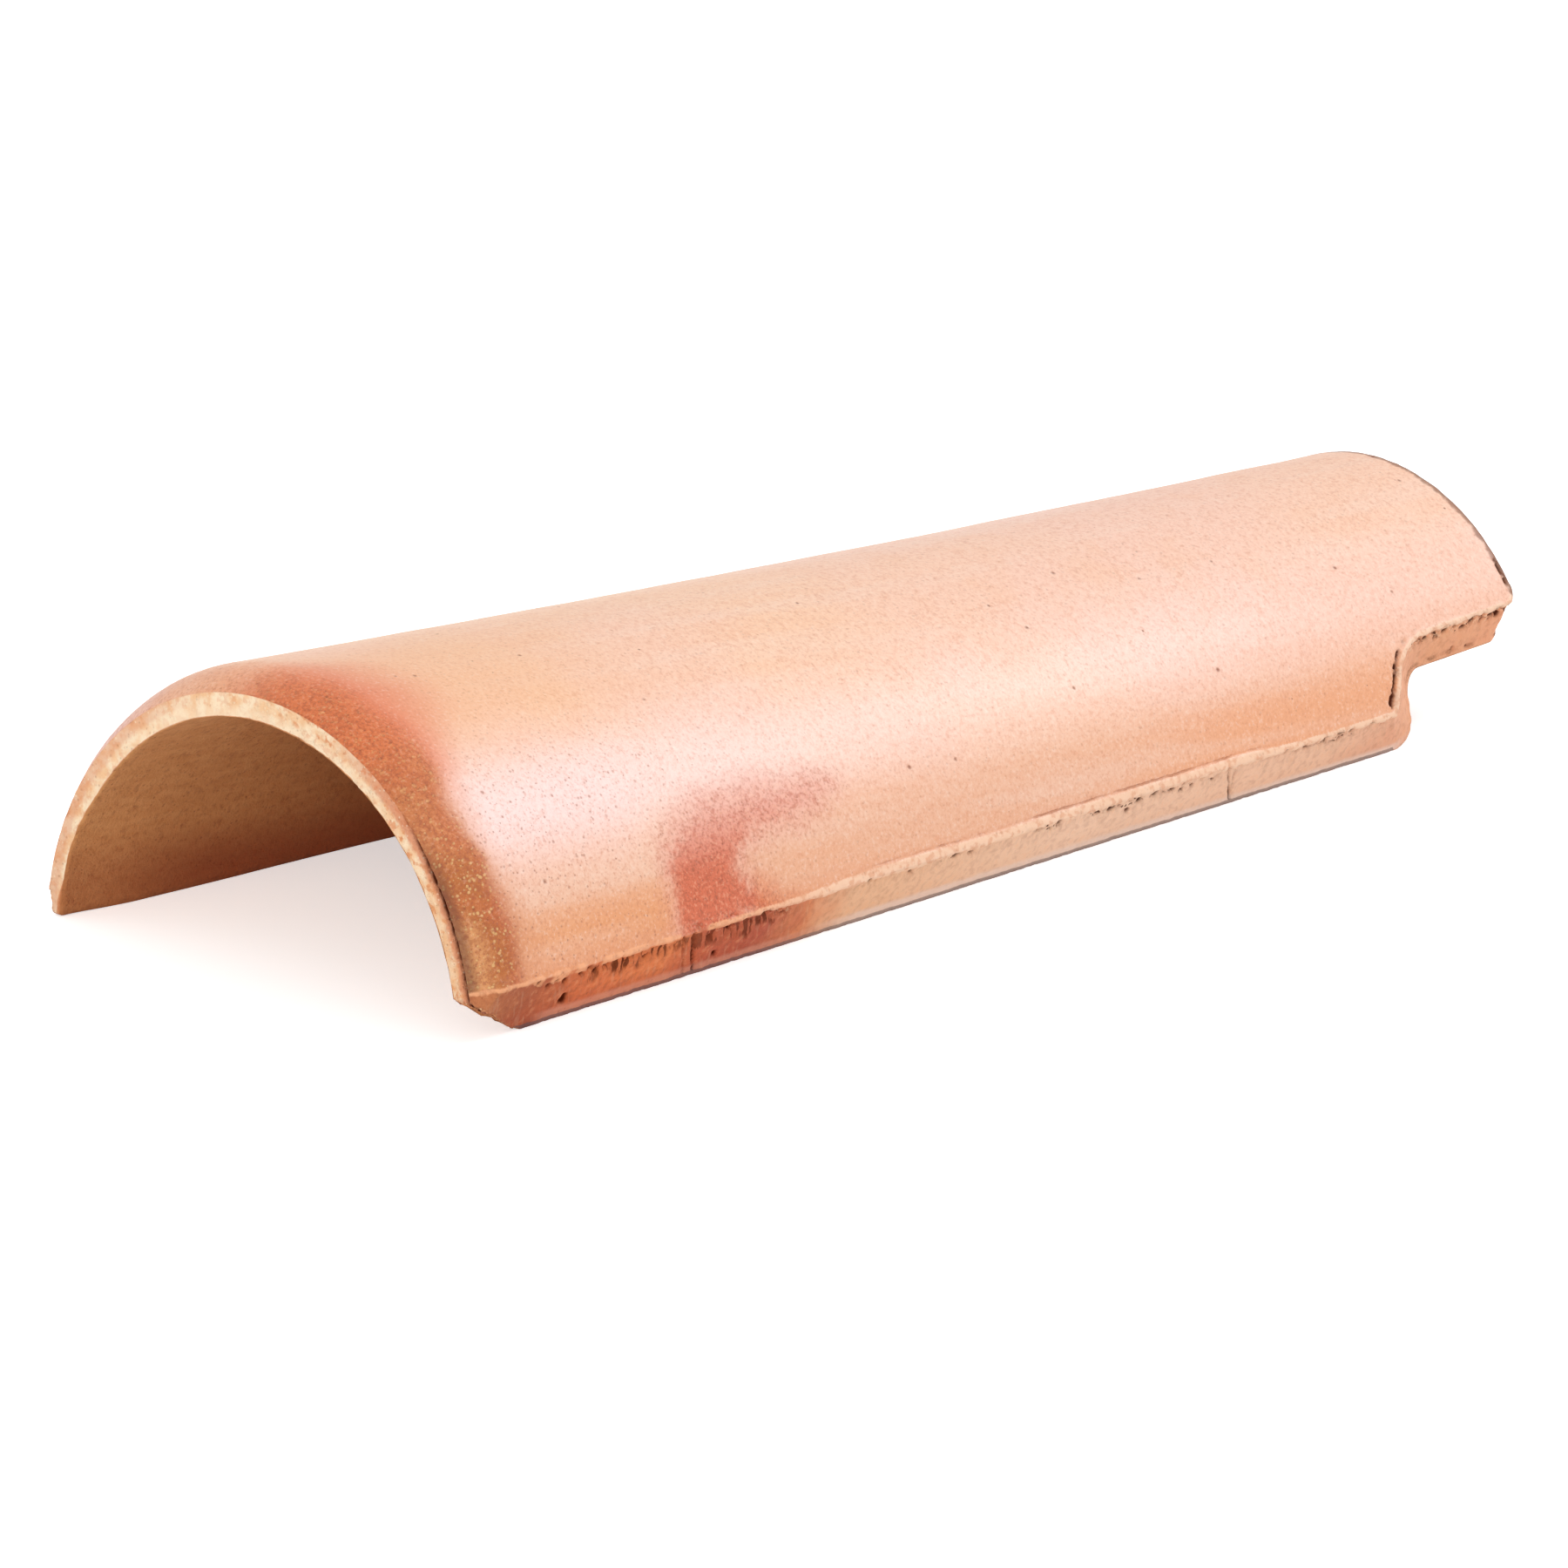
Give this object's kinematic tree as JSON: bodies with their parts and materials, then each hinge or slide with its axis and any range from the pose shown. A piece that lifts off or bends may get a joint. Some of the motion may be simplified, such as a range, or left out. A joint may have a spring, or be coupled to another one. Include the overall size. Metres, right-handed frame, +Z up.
{
  "type": "clay roof tile",
  "caption": "Tapered half-barrel roof tile of pressed fired clay, with bevelled long edges and a notch in each lower corner of its narrow end.",
  "frame": {"origin": "middle of the tile's length and width, on the level its two feet stand on", "axes": "+Y along the tile from its wide end to its narrow end, +Z up through the crown of the vault, +X to the foot with the broken corner"},
  "size_m": [0.1736, 0.45, 0.0849],
  "materials": {
    "fired_clay": "matte"
  },
  "bodies": {
    "root": {"tile": "fired_clay"}
  },
  "joints": []
}
